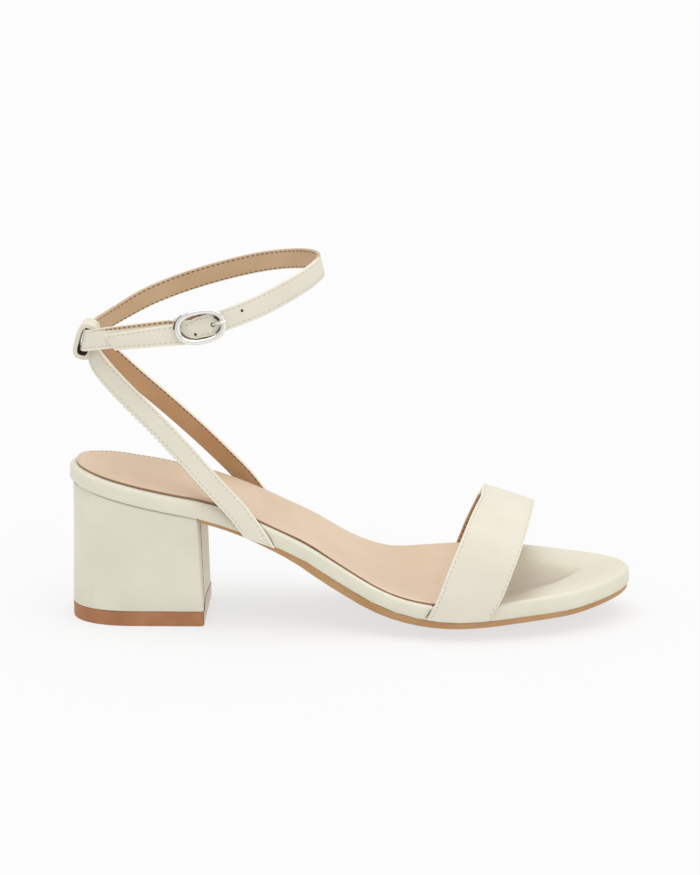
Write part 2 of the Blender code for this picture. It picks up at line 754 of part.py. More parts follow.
def ankle_frame(distance):
    """Outward and across directions of the ankle strap, which leans in at its top edge."""
    run = (ankle_at(distance + SLOPE_SPAN) - ankle_at(distance - SLOPE_SPAN)).normalized()
    outward = Vector((0, 0, 1)).cross(run).normalized()
    across = run.cross(outward).normalized()
    tilt = Matrix.Rotation(ANKLE_LEAN, 3, run)
    if (tilt @ outward).z < outward.z:
        tilt = tilt.transposed()
    return tilt @ outward, tilt @ across


def ease(share):
    share = min(max(share, 0.0), 1.0)
    return share * share * (3 - 2 * share)


def over_rise(ahead):
    """Offset outwards of the strap's outer layer at a run ahead of the bar, climbing over the inner one."""
    return (ANKLE_THICK + GAP) * ease((UNDER_RIM_RUN - ahead) / (UNDER_RIM_RUN - BAR_RADIUS * 3))


def ankle_layers():
    """Rows of (distance, offset outwards, drop, width) for the strap from the bar to its free end."""
    total = ANKLE_RUNS[-1]
    end = total + FREE_END_LENGTH - FREE_END_SLANT
    rows = []
    for i in range(1, ANKLE_STEPS + 1):
        distance = end * i / ANKLE_STEPS
        free = distance - total - BAR_RADIUS
        drop = FREE_END_DROP * ease(free / (BUCKLE_LENGTH / 3))
        width = mix(FOLD_WIDTH, ANKLE_WIDTH, ease((distance - BUCKLE_LENGTH * 0.45) / FOLD_SHOULDER))
        width = mix(width, FREE_END_WIDTH, ease(free / FREE_END_LENGTH))
        rows.append((distance, over_rise(total - distance), drop, width))
    return rows


def make_ankle_strap(look):
    """One strap: folded round the bar, back through the loop, round the ankle and out over the bar."""
    grid = []
    cuts = 2
    shares = [j / cuts - 0.5 for j in range(cuts + 1)]
    place = buckle_matrix()
    fold = BAR_RADIUS + GAP + ANKLE_THICK / 2
    lower = [(-FOLD_LENGTH * i / 3, -2 * fold) for i in (3, 2, 1)]
    turns = [math.radians(degrees) for degrees in range(-90, 91, 15)]
    round_bar = [(fold * math.cos(turn), fold * (math.sin(turn) - 1)) for turn in turns]
    for along, out in lower + round_bar:
        grid.append([place @ Vector((along, FOLD_WIDTH * share, out)) for share in shares])
    layers = ankle_layers()
    for distance, out, drop, width in layers:
        outward, across = ankle_frame(distance)
        middle = ankle_at(distance) + outward * out - across * drop
        grid.append([middle + across * (width * share) for share in shares])
    distance, out, drop, width = layers[-1]
    tip = []
    for share in shares:
        reached = distance + FREE_END_SLANT * (share + 0.5) + ANKLE_THICK / 2
        outward, across = ankle_frame(reached)
        tip.append(ankle_at(reached) + outward * out + across * (width * share - drop))
    grid.append(tip)
    strap = sheet("ankle_strap", grid, ANKLE_THICK, look)
    for ahead, height in HOLES:
        boolean(strap, hole_cutter(ANKLE_RUNS[-1] - ahead, height), "DIFFERENCE")
    slot = helper(wire("prong_slot", prong_path(eye_start=-30), PRONG_RADIUS + GAP, look))
    boolean(strap, slot, "DIFFERENCE")
    return strap


def hole_cutter(distance, height):
    """Round punch through the outer layer only."""
    outward, across = ankle_frame(distance)
    place = outward.to_track_quat("Z", "Y").to_matrix().to_4x4()
    out = over_rise(ANKLE_RUNS[-1] - distance)
    depth = 2 * ANKLE_THICK
    out += depth / 2 - ANKLE_THICK / 2 - GAP / 2
    place.translation = ankle_at(distance) + outward * out + across * height
    mesh = bpy.data.meshes.new("strap_hole")
    build = bmesh.new()
    bmesh.ops.create_cone(
        build, cap_ends=True, segments=12, radius1=HOLE_RADIUS, radius2=HOLE_RADIUS, depth=depth, matrix=place
    )
    build.to_mesh(mesh)
    build.free()
    obj = bpy.data.objects.new("strap_hole", mesh)
    PARTS.objects.link(obj)
    return helper(obj)


def buckle_matrix():
    """Frame of the buckle on the bar: X to the front along the strap, Y up across it, Z outwards."""
    outward, across = ankle_frame(0.0)
    made = Matrix((across.cross(outward), across, outward)).transposed().to_4x4()
    made.translation = ankle_at(0.0)
    return made


def wire(name, points, radius, look):
    """Round wire through the points, with closed ends, as a mesh."""
    curve = bpy.data.curves.new(name, "CURVE")
    curve.dimensions = "3D"
    curve.bevel_depth = radius
    curve.bevel_resolution = 2
    curve.use_fill_caps = True
    line = curve.splines.new("POLY")
    line.points.add(len(points) - 1)
    for knot, point in zip(line.points, points):
        knot.co = (*point, 1)
    guide = bpy.data.objects.new(name + "_guide", curve)
    PARTS.objects.link(guide)
    graph = bpy.context.evaluated_depsgraph_get()
    mesh = bpy.data.meshes.new_from_object(guide.evaluated_get(graph))
    mesh.name = name
    bpy.data.objects.remove(guide, do_unlink=True)
    build = bmesh.new()
    build.from_mesh(mesh)
    bmesh.ops.remove_doubles(build, verts=build.verts, dist=MERGE)
    bmesh.ops.recalc_face_normals(build, faces=build.faces)
    build.to_mesh(mesh)
    build.free()
    mesh.materials.clear()
    mesh.materials.append(look)
    mesh.shade_smooth()
    mesh.set_sharp_from_angle(angle=SMOOTH_ANGLE)
    obj = bpy.data.objects.new(name, mesh)
    PARTS.objects.link(obj)
    return obj


def bar_depth():
    """The bar's centre lies this far inside the strap's under layer."""
    return BAR_RADIUS + GAP + ANKLE_THICK / 2


def rim_heights():
    """Heights of the buckle's rim over the under layer, at its back half and at its front end."""
    seated = ANKLE_THICK / 2 + 2 * GAP + BUCKLE_RIM_THICK / 2
    return seated + over_rise(0.0), seated + over_rise(BUCKLE_LENGTH / 2 - BUCKLE_RIM)


def prong_path(eye_start=-60):
    """Eye round the bar from a start angle, shank up through the strap and over the front of the rim."""
    eye = BAR_RADIUS + GAP + PRONG_RADIUS
    depth = bar_depth()
    rest = rim_heights()[1] + BUCKLE_RIM_THICK / 2 + GAP + PRONG_RADIUS
    half = BUCKLE_LENGTH / 2
    flat = [
        (eye * math.cos(math.radians(a)), eye * math.sin(math.radians(a)) - depth)
        for a in range(eye_start, -271, -30)
    ]
    flat += [(half * run, mix(eye - depth, rest, up)) for run, up in PRONG_SHANK]
    place = buckle_matrix()
    return [place @ Vector((x, 0, z)) for x, z in flat]


def make_prong(look):
    return wire("buckle_prong", prong_path(), PRONG_RADIUS, look)


def make_buckle(look):
    """Oval rim, lower at its front, joined to the bar that the strap folds round."""
    half_x = (BUCKLE_LENGTH - BUCKLE_RIM) / 2
    half_y = (BUCKLE_HEIGHT - BUCKLE_RIM) / 2
    back, front = rim_heights()
    place = buckle_matrix()

    def rim(turn):
        power = 2 / BUCKLE_SQUARENESS
        x, y = (math.copysign(abs(v) ** power, v) for v in (math.cos(turn), math.sin(turn)))
        return Vector((half_x * x, half_y * y, mix(back, front, ease(x))))

    vertices = []
    step = 2 * math.pi / RIM_STEPS
    for i in range(RIM_STEPS):
        run = (rim(step * (i + 0.1)) - rim(step * (i - 0.1))).normalized()
        out = run.cross(Vector((0, 0, 1))).normalized()
        up = out.cross(run)
        for k in range(RIM_SIDES):
            turn = 2 * math.pi * k / RIM_SIDES
            spot = out * (math.cos(turn) * BUCKLE_RIM / 2) + up * (math.sin(turn) * BUCKLE_RIM_THICK / 2)
            vertices.append(place @ (rim(step * i) + spot))
    faces = []
    for i in range(RIM_STEPS):
        here, there = i * RIM_SIDES, (i + 1) % RIM_STEPS * RIM_SIDES
        for j in range(RIM_SIDES):
            k = (j + 1) % RIM_SIDES
            faces.append((here + j, here + k, there + k, there + j))
    frame = add_mesh("buckle_frame", vertices, faces, look)
    depth = bar_depth()
    ends = (half_y, half_y - BAR_RADIUS / 7, half_y - BAR_RADIUS, half_y - 2 * BAR_RADIUS)
    heights = (back, back - BAR_RADIUS, -depth + BAR_RADIUS, -depth)
    side = list(zip(ends, heights))
    path = [(-y, z) for y, z in side] + [(y, z) for y, z in reversed(side)]
    bar = helper(wire("buckle_bar", [place @ Vector((0, y, z)) for y, z in path], BAR_RADIUS, look))
    boolean(frame, bar, "UNION")
    return frame


def main():
    make_midsole(material("Cream wrap", CREAM))
    make_insole(material("Tan lining", TAN))
    make_outsole(material("Brown outsole", SOLE_BROWN))
    make_heel(material("Cream heel cover", CREAM))
    make_top_lift(material("Brown top lift", LIFT_BROWN))
    make_toe_strap(material("Cream toe strap", CREAM))
    make_sling(material("Cream sling", CREAM))
    make_ankle_strap(material("Cream ankle strap", CREAM))
    make_buckle(material("Polished rim", SILVER))
    make_prong(material("Polished prong", SILVER))


clear_scene()
PARTS = collection("block_heel_sandal")
CUTTERS = collection("cutters")
ANKLE_POINTS, ANKLE_RUNS = ankle_round()
main()
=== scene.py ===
"""Looks for the cream block heel sandal: leather, lining, thread, sole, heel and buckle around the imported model."""

import math

import bmesh
import bpy
from mathutils import Matrix, Vector
from mathutils.bvhtree import BVHTree


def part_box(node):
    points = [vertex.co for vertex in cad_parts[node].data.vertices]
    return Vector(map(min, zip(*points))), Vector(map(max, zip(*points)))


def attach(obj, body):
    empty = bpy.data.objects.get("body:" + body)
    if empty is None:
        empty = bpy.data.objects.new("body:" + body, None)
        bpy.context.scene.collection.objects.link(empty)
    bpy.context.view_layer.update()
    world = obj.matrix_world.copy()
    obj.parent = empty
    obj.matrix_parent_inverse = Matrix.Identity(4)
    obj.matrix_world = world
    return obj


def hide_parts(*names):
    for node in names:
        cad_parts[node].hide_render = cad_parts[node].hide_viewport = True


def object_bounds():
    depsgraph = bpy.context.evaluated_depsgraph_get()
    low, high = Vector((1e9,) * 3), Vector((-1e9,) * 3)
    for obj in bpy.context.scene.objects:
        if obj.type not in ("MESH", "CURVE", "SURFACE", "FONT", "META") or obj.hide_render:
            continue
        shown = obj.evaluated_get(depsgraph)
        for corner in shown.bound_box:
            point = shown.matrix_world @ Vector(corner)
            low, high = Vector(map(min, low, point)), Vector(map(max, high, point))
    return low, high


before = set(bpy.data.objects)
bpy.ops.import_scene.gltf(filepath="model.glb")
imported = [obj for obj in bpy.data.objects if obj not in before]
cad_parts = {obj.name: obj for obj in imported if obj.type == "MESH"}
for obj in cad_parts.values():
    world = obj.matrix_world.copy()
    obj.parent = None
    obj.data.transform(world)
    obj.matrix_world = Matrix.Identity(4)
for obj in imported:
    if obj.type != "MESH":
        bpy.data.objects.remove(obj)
cad_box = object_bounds()

# Camera: a long lens at table height, a little above the shoe and nearly square to its outer side,
# level with the floor, as the photograph was taken.
lens = bpy.data.cameras.new("camera")
lens.lens = 103.06
lens.sensor_width = 36.0
lens.clip_start = 0.05
camera = bpy.data.objects.new("camera", lens)
bpy.context.scene.collection.objects.link(camera)
camera.location = (0.105131, -0.999848, 0.319894)
aim = Vector((0.087679, 0.0, 0.074894)) - camera.location
camera.rotation_euler = aim.to_track_quat("-Z", "Y").to_euler()
bpy.context.scene.camera = camera

# Studio: a pale seamless floor under an even white sky, a wide soft light overhead and a weak one from
# the toe side. The display is plain, so that pale surfaces keep their colour.
bpy.context.scene.view_settings.view_transform = "Standard"
sky = bpy.data.worlds.new("sky")
bpy.context.scene.world = sky
sky.use_nodes = True
sky.node_tree.nodes["Background"].inputs["Color"].default_value = (1.0, 1.0, 1.0, 1.0)
sky.node_tree.nodes["Background"].inputs["Strength"].default_value = 0.79


def add_sun(name, energy, spread, toward):
    """Soft lamp far away in one direction."""
    light = bpy.data.lights.new(name, "SUN")
    light.energy = energy
    light.angle = math.radians(spread)
    lamp = bpy.data.objects.new(name, light)
    lamp.rotation_euler = Vector(toward).to_track_quat("Z", "Y").to_euler()
    bpy.context.scene.collection.objects.link(lamp)


add_sun("overhead_light", 1.15, 60, (0.02, -0.10, 1.0))
add_sun("toe_side_light", 0.42, 80, (0.90, -0.55, 0.15))


def new_material(name, roughness):
    """Material with a Principled shader, given back with its nodes and a link function."""
    made = bpy.data.materials.new(name)
    made.use_nodes = True
    shader = made.node_tree.nodes["Principled BSDF"]
    shader.inputs["Roughness"].default_value = roughness
    return made, made.node_tree.nodes, made.node_tree.links.new, shader


floor_paint, nodes, link, shader = new_material("Pale floor", 0.9)
shader.inputs["Base Color"].default_value = (0.300, 0.272, 0.262, 1.0)
shader.inputs["Specular IOR Level"].default_value = 0.0
shader.inputs["Emission Color"].default_value = (0.622, 0.653, 0.666, 1.0)
shader.inputs["Emission Strength"].default_value = 1.0
FLOOR_HALF = 14.0
shape = bmesh.new()
bmesh.ops.create_grid(shape, x_segments=1, y_segments=1, size=FLOOR_HALF)
floor_mesh = bpy.data.meshes.new("floor")
shape.to_mesh(floor_mesh)
shape.free()
floor_mesh.materials.append(floor_paint)
floor = bpy.data.objects.new("floor", floor_mesh)
bpy.context.scene.collection.objects.link(floor)


# Footbed: a stiff board wrapped in cream faux leather, turned under at the edge and cemented.
# Its rim is rounded, with the wrap drawn tight over it.
CREAM_LIGHT = (0.765, 0.738, 0.600, 1.0)
CREAM_DEEP = (0.710, 0.682, 0.545, 1.0)
SHARP = math.radians(40)
WELD = 0.00001


def merged(node):
    """The CAD node as one welded shape, its triangles joined back into quads."""
    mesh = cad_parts[node].data.copy()
    if "custom_normal" in mesh.attributes:
        mesh.attributes.remove(mesh.attributes["custom_normal"])
    made = bmesh.new()
    made.from_mesh(mesh)
    bpy.data.meshes.remove(mesh)
    bmesh.ops.remove_doubles(made, verts=made.verts, dist=WELD)
    bmesh.ops.join_triangles(made, faces=made.faces, angle_face_threshold=0.6, angle_shape_threshold=1.2)
    return made


def soften(made, edges, width, segments=3, material=-1):
    """Rounds the given edges."""
    bmesh.ops.bevel(
        made, geom=edges, offset=width, segments=segments, profile=0.5, affect="EDGES", material=material
    )


def place(made, name, materials, replaced=(), sharp=SHARP):
    """Finishes a shape as a piece of the shoe that rides on it."""
    mesh = bpy.data.meshes.new(name)
    made.to_mesh(mesh)
    made.free()
    for material in materials:
        mesh.materials.append(material)
    mesh.shade_smooth()
    mesh.set_sharp_from_angle(angle=sharp)
    piece = bpy.data.objects.new(name, mesh)
    bpy.context.scene.collection.objects.link(piece)
    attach(piece, "root")
    for node in replaced:
        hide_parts(node)
    return piece


def round_off(piece):
    """Rounds a piece further by one level of subdivision."""
    rounding = piece.modifiers.new("Rounding", "SUBSURF")
    rounding.levels = 1
    rounding.render_levels = 1


def blended(nodes, link, share, deep, light):
    """Colour between two tones, as a node's output gives the share."""
    tone = nodes.new("ShaderNodeMix")
    tone.data_type = "RGBA"
    tone.inputs["A"].default_value = deep
    tone.inputs["B"].default_value = light
    link(share, tone.inputs["Factor"])
    return tone.outputs["Result"]


def faux_leather_grain():
    """Shared group: fine pebbled grain, slow cloudiness of the colour and of the gloss."""
    group = bpy.data.node_groups.new("Faux leather grain", "ShaderNodeTree")
    group.interface.new_socket("Pebbles per metre", in_out="INPUT", socket_type="NodeSocketFloat")
    group.interface.new_socket("Clouds per metre", in_out="INPUT", socket_type="NodeSocketFloat")
    group.interface.new_socket("Height", in_out="OUTPUT", socket_type="NodeSocketFloat")
    group.interface.new_socket("Cloud", in_out="OUTPUT", socket_type="NodeSocketFloat")
    group.interface.new_socket("Gloss", in_out="OUTPUT", socket_type="NodeSocketFloat")
    made, join = group.nodes, group.links.new
    given, given_out = made.new("NodeGroupInput"), made.new("NodeGroupOutput")
    where = made.new("ShaderNodeTexCoord")
    pebbles = made.new("ShaderNodeTexVoronoi")
    pebbles.feature = "SMOOTH_F1"
    clouds = made.new("ShaderNodeTexNoise")
    clouds.inputs["Detail"].default_value = 4.0
    wrinkles = made.new("ShaderNodeTexNoise")
    wrinkles.inputs["Detail"].default_value = 6.0
    wrinkles.inputs["Roughness"].default_value = 0.6
    for texture, scale in ((pebbles, given.outputs[0]), (clouds, given.outputs[1]), (wrinkles, given.outputs[0])):
        join(where.outputs["Object"], texture.inputs["Vector"])
        join(scale, texture.inputs["Scale"])
    total = made.new("ShaderNodeMath")
    total.operation = "MULTIPLY_ADD"
    total.inputs[1].default_value = 0.6
    join(wrinkles.outputs["Fac"], total.inputs[0])
    join(pebbles.outputs["Distance"], total.inputs[2])
    join(total.outputs[0], given_out.inputs["Height"])
    join(clouds.outputs["Fac"], given_out.inputs["Cloud"])
    gloss = made.new("ShaderNodeMapRange")
    gloss.inputs["From Min"].default_value = 0.3
    gloss.inputs["From Max"].default_value = 0.9
    join(total.outputs[0], gloss.inputs["Value"])
    join(gloss.outputs[0], given_out.inputs["Gloss"])
    return group


GRAIN = faux_leather_grain()


def leather(name, deep, light, roughness, pebbles=1500.0, clouds=38.0, relief=0.00005, coat=0.06):
    """Grained faux leather between two close tones. Gives back the material with what more can be linked to."""
    made, nodes, link, shader = new_material(name, roughness)
    grain = nodes.new("ShaderNodeGroup")
    grain.node_tree = GRAIN
    grain.inputs["Pebbles per metre"].default_value = pebbles
    grain.inputs["Clouds per metre"].default_value = clouds
    spread = nodes.new("ShaderNodeMapRange")
    spread.inputs["From Min"].default_value = 0.32
    spread.inputs["From Max"].default_value = 0.68
    link(grain.outputs["Cloud"], spread.inputs["Value"])
    tone = blended(nodes, link, spread.outputs[0], deep, light)
    link(tone, shader.inputs["Base Color"])
    dull = nodes.new("ShaderNodeMapRange")
    dull.inputs["To Min"].default_value = roughness - 0.05
    dull.inputs["To Max"].default_value = roughness + 0.10
    link(grain.outputs["Gloss"], dull.inputs["Value"])
    link(dull.outputs[0], shader.inputs["Roughness"])
    bump = nodes.new("ShaderNodeBump")
    bump.inputs["Strength"].default_value = 0.5
    bump.inputs["Distance"].default_value = relief
    link(grain.outputs["Height"], bump.inputs["Height"])
    link(bump.outputs["Normal"], shader.inputs["Normal"])
    shader.inputs["Coat Weight"].default_value = coat
    shader.inputs["Coat Roughness"].default_value = 0.35
    return made, nodes, link, shader, tone


# The padded toe swells inside the rim, and its tip is drawn up. From the toe strap's front a dish narrows to a
# point, with a crease along its middle. Where the dish is deep, a painted shade darkens the wrap's colour. Lengths
# are in metres, and TOP and WALL are limits of a normal's z, for upper faces and for upright ones.
PAD_START = 0.130
FINE_START = 0.128
FINE_CUTS = 5
DISH_TIP = Vector((0.1858, 0.0069))
DISH_MOUTH = Vector((0.1480, 0.0030))
DISH_HALF = 0.0330
DISH_DEPTH = 0.0026
DISH_TAPER = 0.8
BOWL_WIDTH = 1.15
BOWL_FADE = 2.6
CREASE_HALF = 0.0030
CREASE_DEPTH = 0.0014
CREASE_FADE = 3.4
# The dish's painted shade: its darker tone, and where it starts and fades out towards the toe's tip.
DISH_SHADE_TINT = (0.540, 0.485, 0.400, 1.0)
DISH_SHADE_TINT_START = 0.160
DISH_SHADE_TINT_REACH = 1.45
DISH_SHADE_TINT_FADE = 38
SWELL_RUN = 0.0100
SWELL_START = 0.150
SWELL_EASE = 0.015
SWELL = 0.0009
TIP_START = 0.1760
TIP_RISE = 0.0011
TOP = 0.6
WALL = 0.3
CREASED = 0.8


def eased(share):
    """Smooth step from 0 to 1."""
    share = min(max(share, 0.0), 1.0)
    return share * share * (3 - 2 * share)


def dish(x, y):
    """Depth of the toe's dish at a place of the footbed's top."""
    run = (x - DISH_MOUTH.x) / (DISH_TIP.x - DISH_MOUTH.x)
    middle = DISH_MOUTH.y + (DISH_TIP.y - DISH_MOUTH.y) * run
    half = DISH_HALF * max(1 - run, 0.0) ** DISH_TAPER + 0.0001
    bowl = eased(BOWL_WIDTH * (1 - abs(y - middle) / half)) * eased(BOWL_FADE * (1 - run))
    crease = eased(1 - abs(y - middle) / CREASE_HALF) * eased(CREASE_FADE * (1 - run))
    return DISH_DEPTH * bowl + CREASE_DEPTH * crease


cream_wrap, nodes, link, shader, tone = leather("Cream wrap", CREAM_DEEP, CREAM_LIGHT, 0.42)
# The wrap's colour is mixed towards the darker tone by the painted dish shade stored on the vertices.
painted_dish_shade = nodes.new("ShaderNodeAttribute")
painted_dish_shade.attribute_name = "painted_dish_shade"
shaded = nodes.new("ShaderNodeMix")
shaded.data_type = "RGBA"
shaded.inputs["B"].default_value = DISH_SHADE_TINT
link(tone, shaded.inputs["A"])
link(painted_dish_shade.outputs["Fac"], shaded.inputs["Factor"])
link(shaded.outputs["Result"], shader.inputs["Base Color"])
shape = merged("midsole")
painted_dish_shade_layer = shape.verts.layers.float.new("painted_dish_shade")
toe_top = [face for face in shape.faces if face.normal.z > 0.8 and face.calc_center_median().x > FINE_START]
toe_edges = list({edge for face in toe_top for edge in face.edges})
bmesh.ops.subdivide_edges(shape, edges=toe_edges, cuts=FINE_CUTS, use_grid_fill=True)
shape.normal_update()


def tip_rise(x):
    """How far the underside is drawn up near the toe's tip."""
    return TIP_RISE * eased((x - TIP_START) / (cad_box[1][0] - TIP_START))


rim = [
    (edge.verts[0].co.to_2d(), edge.verts[1].co.to_2d()) for edge in shape.edges
    if all(abs(vertex.normal.z) < 0.4 and vertex.co.x > PAD_START for vertex in edge.verts)
    and (edge.verts[0].co - edge.verts[1].co).to_2d().length > 0.0001
]


def from_rim(spot):
    """Distance of a place of the top from the rim's outline."""
    nearest = 1.0
    for start, end in rim:
        run = end - start
        share = min(max((spot - start).dot(run) / run.length_squared, 0.0), 1.0)
        nearest = min(nearest, (spot - start - run * share).length)
    return nearest


for vertex in shape.verts:
    x, y = vertex.co.x, vertex.co.y
    if vertex.normal.z > TOP and x > PAD_START:
        swell = SWELL * eased(from_rim(vertex.co.to_2d()) / SWELL_RUN) * eased((x - SWELL_START) / SWELL_EASE)
        vertex.co.z += swell - dish(x, y)
        # The dish's depth sets the painted shade, which fades out towards the toe's tip.
        depth = (dish(x, y) / (DISH_DEPTH + CREASE_DEPTH)) ** 0.8
        vertex[painted_dish_shade_layer] = depth * eased(DISH_SHADE_TINT_REACH - DISH_SHADE_TINT_FADE * (x - DISH_SHADE_TINT_START))
    elif vertex.normal.z < -WALL:
        vertex.co.z += tip_rise(x)
    elif vertex.normal.z < WALL:
        vertex.co.z += 0.5 * tip_rise(x)
creases = shape.edges.layers.float.new("crease_edge")
for edge in shape.edges:
    if edge.calc_face_angle(0.0) > CREASED or any(face.normal.z < -0.1 for face in edge.link_faces):
        edge[creases] = 1.0
round_off(place(shape, "footbed", [cream_wrap], ["midsole"]))

# Lining sheet: a thin tan sheet cemented on the footbed just inside the rim, with a brown cut edge.
# It lies a little unevenly, as glued sheet does. Its underside comes down to the cement.
LINING_LIGHT = (0.715, 0.560, 0.410, 1.0)
LINING_DEEP = (0.650, 0.495, 0.345, 1.0)
CUT_EDGE = (0.370, 0.205, 0.115, 1.0)
WAVE = 0.00016
CEMENT_LINE = 0.00022
lining_face = leather("Tan lining", LINING_DEEP, LINING_LIGHT, 0.55, pebbles=1100.0, clouds=24.0)[0]
lining_edge = leather("Brown cut edge", CUT_EDGE, CUT_EDGE, 0.6)[0]
shape = merged("insole")
for face in shape.faces:
    face.material_index = 1 if abs(face.normal.z) < WALL else 0
for vertex in shape.verts:
    if vertex.normal.z > TOP:
        x, y = vertex.co.x, vertex.co.y
        wave = math.sin(210 * x + 90 * y) * math.sin(160 * y + 60 * x + 1.0) + 0.6 * math.sin(95 * x - 150 * y)
        vertex.co.z += WAVE * wave
    elif vertex.normal.z < -WALL:
        vertex.co.z -= CEMENT_LINE
lining_shape = shape.copy()
place(shape, "lining_sheet", [lining_face, lining_edge], ["insole"])

# Sole sheet: a thin brown resin sheet under the waist and forefoot, with a plain trimmed edge. It is
# cemented to the footbed, whose tip it follows up.
SOLE_LIGHT = (0.515, 0.298, 0.132, 1.0)
SOLE_DEEP = (0.440, 0.235, 0.090, 1.0)
sole_resin = leather("Brown sole resin", SOLE_DEEP, SOLE_LIGHT, 0.55, pebbles=900.0, clouds=60.0)[0]
shape = merged("outsole")
for vertex in shape.verts:
    vertex.co.z += tip_rise(vertex.co.x) + (CEMENT_LINE if vertex.normal.z > WALL else 0.0)
place(shape, "sole_sheet", [sole_resin], ["outsole"])

# Block heel: a moulded block covered with the cream wrap, which is turned in at the breast and the foot.
# The front has a middle panel with thin seams and, at its foot, an arched facing that covers the lift too; the
# facing's darker rose tone is painted shade.
cream_heel = leather("Cream heel cover", CREAM_DEEP, CREAM_LIGHT, 0.42)[0]
# Folded edges and the heel's foot fold are painted lighter, a painted highlight along the rounded edges.
cream_fold_highlight = leather("Cream folded edge with painted highlight", (0.80, 0.765, 0.635, 1.0), (0.86, 0.825, 0.70, 1.0), 0.45)[0]
# Dark cement for joints, also used as painted shade in the holes, in the loop's opening, behind the buckle and round
# its rim.
dark_cement_and_shade = leather("Dark cement and painted shade", (0.050, 0.030, 0.020, 1.0), (0.080, 0.050, 0.035, 1.0), 0.8)[0]
# The facing's darker rose tone is painted shade at the heel's foot.
rose_shade_facing = leather("Rose cream facing in painted shade", (0.640, 0.560, 0.480, 1.0), (0.700, 0.620, 0.540, 1.0), 0.5)[0]
seam_shade = leather("Seam shade", (0.380, 0.310, 0.240, 1.0), (0.440, 0.370, 0.295, 1.0), 0.8)[0]
JOINT_DROP = 0.00040
JOINT_LINE = 0.00022
HEEL_ENDS = 0.9
FOOT_FOLD = 0.0009
shape = merged("heel_block")
low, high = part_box("heel_block")
# The heel's caps take the dark cement, and its foot fold the lighter cream, a painted highlight.
for face in shape.faces:
    middle = face.calc_center_median()
    if abs(face.normal.z) > HEEL_ENDS:
        face.material_index = 1
    elif middle.z < low.z + FOOT_FOLD:
        face.material_index = 2
joint = [
    [vertex.co + Vector((0.0, 0.0, -JOINT_DROP)) for vertex in edge.verts] for edge in shape.edges
    if sorted(face.normal.z > 0.8 for face in edge.link_faces) == [False, True]
]
place(shape, "heel_cover", [cream_heel, dark_cement_and_shade, cream_fold_highlight], ["heel_block"])


def add_cord(made, points, radius, sides=6):
    """Thin round line through the points."""
    rings = []
    for i, point in enumerate(points):
        run = (points[min(i + 1, len(points) - 1)] - points[max(i - 1, 0)]).normalized()
        across = (across - run * across.dot(run)).normalized() if rings else run.orthogonal().normalized()
        other = run.cross(across)
        turns = [2 * math.pi * k / sides for k in range(sides)]
        rings.append([made.verts.new(point + (across * math.cos(t) + other * math.sin(t)) * radius) for t in turns])
    for ring, after in zip(rings, rings[1:]):
        for k in range(sides):
            made.faces.new((ring[k], ring[(k + 1) % sides], after[(k + 1) % sides], after[k]))
    made.faces.new(rings[0][::-1])
    made.faces.new(rings[-1])


def add_plate(made, outline, thick):
    """Thin plate: an outline given as points, and the same points moved by its thickness."""
    back = [made.verts.new(point) for point in outline]
    front = [made.verts.new(point + thick) for point in outline]
    count = len(outline)
    made.faces.new(back[::-1])
    made.faces.new(front)
    for i in range(count):
        k = (i + 1) % count
        made.faces.new((back[i], back[k], front[k], front[i]))


# Dark cement shows as a thin line all round the heel's joint with the footbed.
shape = bmesh.new()
for run in joint:
    add_cord(shape, run, JOINT_LINE)
place(shape, "heel_joint_line", [dark_cement_and_shade])

# The heel's front: the facing at its foot, the middle panel over it, and the seams of both, all cemented on.
FRONT = high.x
LEAN = 0.037
STAND_OFF = 0.0001
ARCH = (
    (0.0203, 0.0062), (0.0140, 0.0071), (0.0074, 0.0080), (0.0, 0.0088),
    (-0.0072, 0.0094), (-0.0124, 0.0089), (-0.0160, 0.0077), (-0.0192, 0.0060),
)
ARCH_CORNERS = ((-0.0198, 0.0010), (0.0203, 0.0010))
ARCH_STAND_OFF = 0.00022
ARCH_SEAM = 0.00016
FACING_THICK = 0.00016
PANEL_THICK = 0.00012
PANEL_TOP = 0.0455
PANEL_FEET = (0.0084, 0.0070)
SEAM_SIDE = 0.0150
SEAM_FEET = (0.0086, 0.0072)
SEAM_STAND_OFF = 0.00012
SEAM_RADIUS = 0.00012
SEAM_STEPS = 6


def on_front(y, z, out=STAND_OFF):
    """Place on the heel's leaning front, standing out a little."""
    return Vector((FRONT - LEAN * max(z - low.z, 0.0) + out, y, z))


facing = [*ARCH, *ARCH_CORNERS]
panel = [(y, z) for y, z in ARCH if abs(y) < SEAM_SIDE]
panel += [(-SEAM_SIDE, PANEL_FEET[0]), (-SEAM_SIDE, PANEL_TOP), (SEAM_SIDE, PANEL_TOP), (SEAM_SIDE, PANEL_FEET[1])]
for name, outline, thick, cover in (
    ("heel_front_foot", facing, FACING_THICK, rose_shade_facing), ("heel_front_panel", panel, PANEL_THICK, cream_heel)
):
    shape = bmesh.new()
    add_plate(shape, [on_front(y, z) for y, z in outline], Vector((thick, 0.0, 0.0)))
    bmesh.ops.recalc_face_normals(shape, faces=shape.faces)
    place(shape, name, [cover])
shape = bmesh.new()
add_cord(shape, [on_front(y, z, ARCH_STAND_OFF) for y, z in ARCH], ARCH_SEAM)
for face in shape.faces:
    face.material_index = 1
for side, foot in zip((-1, 1), SEAM_FEET):
    heights = [foot + (PANEL_TOP - foot) * i / SEAM_STEPS for i in range(SEAM_STEPS + 1)]
    add_cord(shape, [on_front(side * SEAM_SIDE, z, SEAM_STAND_OFF) for z in heights], SEAM_RADIUS)
place(shape, "heel_front_seams", [seam_shade, dark_cement_and_shade])

